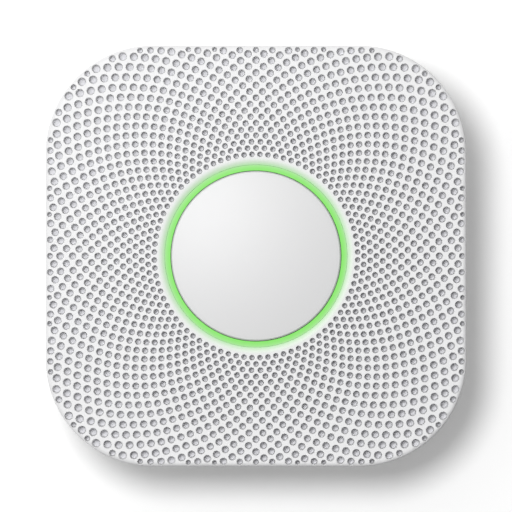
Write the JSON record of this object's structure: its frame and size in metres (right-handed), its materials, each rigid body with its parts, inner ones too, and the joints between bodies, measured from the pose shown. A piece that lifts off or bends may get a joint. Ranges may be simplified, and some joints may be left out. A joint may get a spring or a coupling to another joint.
{
  "type": "smoke detector",
  "caption": "Square battery smoke and CO alarm with a perforated front, lit ring, press button, twist-off backplate and rear battery door.",
  "frame": {"origin": "centre of the backplate's flat wall face", "axes": "+Z out of the front towards the room, +Y the top of the alarm on a wall, +X to the right seen from the front"},
  "size_m": [0.134, 0.134, 0.0385],
  "materials": {
    "front_white": "fine satin moulded polycarbonate",
    "button_white": "smooth satin",
    "rear_white": "fine spark-eroded texture",
    "backplate_white": "fine spark-eroded texture",
    "steel": "zinc plated",
    "screen_grey": "woven fine mesh",
    "light_ring_green": "translucent light guide lit green",
    "lens_sheet": "milky translucent polyethylene",
    "inner_white": "moulded",
    "spring_steel": "bright wire",
    "board_green": "solder mask",
    "led_white": "surface-mounted LED",
    "black_plastic": "moulded",
    "sensor_window": "infrared filter",
    "plunger_plastic": "smooth",
    "shield_steel": "tinned sheet",
    "ferrite": "sintered",
    "copper": "enamelled wire",
    "clear_resin": "clear resin",
    "dark_resin": "daylight filter resin",
    "sensor_grey": "moulded",
    "brass": "rolled sheet",
    "ceramic": "silvered ceramic",
    "cone_paper": "coated paper",
    "rubber": "butyl",
    "foam_black": "closed-cell foam",
    "nickel": "nickel-plated spring sheet",
    "battery_can": "plain metallic jacket"
  },
  "bodies": {
    "backplate": {"backplate": "backplate_white"},
    "head": {"front_cover": "front_white", "rear_housing": "rear_white", "battery_door_pin": "steel", "dust_screen": "screen_grey", "light_ring": "light_ring_green", "button_springs": "spring_steel", "center_frame": "inner_white", "led_board": "board_green", "ring_leds": "led_white", "led_board_header": "black_plastic", "motion_sensor": "steel", "motion_sensor_window": "sensor_window", "motion_sensor_holder": "black_plastic", "tactile_switch": "black_plastic", "main_board": "board_green", "processor_shield": "shield_steel", "radio_shield": "shield_steel", "board_chips": "black_plastic", "humidity_sensor": "inner_white", "microphone": "shield_steel", "horn_coil": "ferrite", "horn_coil_winding": "copper", "smoke_chamber_base": "black_plastic", "smoke_chamber_cap": "black_plastic", "smoke_insect_screen": "shield_steel", "smoke_emitter": "clear_resin", "smoke_receiver": "dark_resin", "co_sensor_body": "sensor_grey", "co_sensor_cap": "steel", "horn_base": "inner_white", "horn_chamber": "inner_white", "piezo_disc": "brass", "piezo_ceramic": "ceramic", "speaker_magnet": "ferrite", "speaker_basket": "black_plastic", "speaker_surround": "rubber", "speaker_gasket": "foam_black", "battery_contacts_upper": "nickel", "battery_contacts_lower": "nickel", "housing_screws": "steel", "board_screws": "steel", "battery_cell_1": "battery_can", "battery_cell_2": "battery_can", "battery_cell_3": "battery_can", "battery_cell_4": "battery_can", "battery_cell_5": "battery_can", "battery_cell_6": "battery_can"},
    "button": {"center_button": "button_white", "motion_lens": "lens_sheet", "button_carrier": "inner_white"},
    "switch_plunger": {"switch_plunger": "plunger_plastic"},
    "battery_door": {"battery_door": "rear_white"},
    "speaker_cone": {"speaker_cone": "cone_paper", "voice_coil": "copper"}
  },
  "joints": [
    {"name": "head_twist", "type": "hinge", "parent": "backplate", "child": "head", "pos_m": [0, 0, 0.003], "axis": [0, 0, 1], "range_deg": [0, 12]},
    {"name": "button_press", "type": "slide", "parent": "head", "child": "button", "axis": [0, 0, -1], "range_m": [0, 0.0006], "stiffness_N_per_m": 1500, "springref_m": -0.001, "deforming": ["button_springs"]},
    {"name": "switch_travel", "type": "slide", "parent": "head", "child": "switch_plunger", "axis": [0, 0, -1], "range_m": [0, 0.0006]},
    {"name": "battery_door_open", "type": "hinge", "parent": "head", "child": "battery_door", "pos_m": [0, -0.0312, 0.0031], "axis": [-1, 0, 0], "range_deg": [0, 100]},
    {"name": "speaker_cone_travel", "type": "slide", "parent": "head", "child": "speaker_cone", "axis": [0, 0, 1], "range_m": [-0.0005, 0.0005], "stiffness_N_per_m": 1200, "deforming": ["speaker_surround"]}
  ],
  "couplings": [
    {"joint": "switch_travel", "follows": "button_press", "ratio": 1}
  ]
}
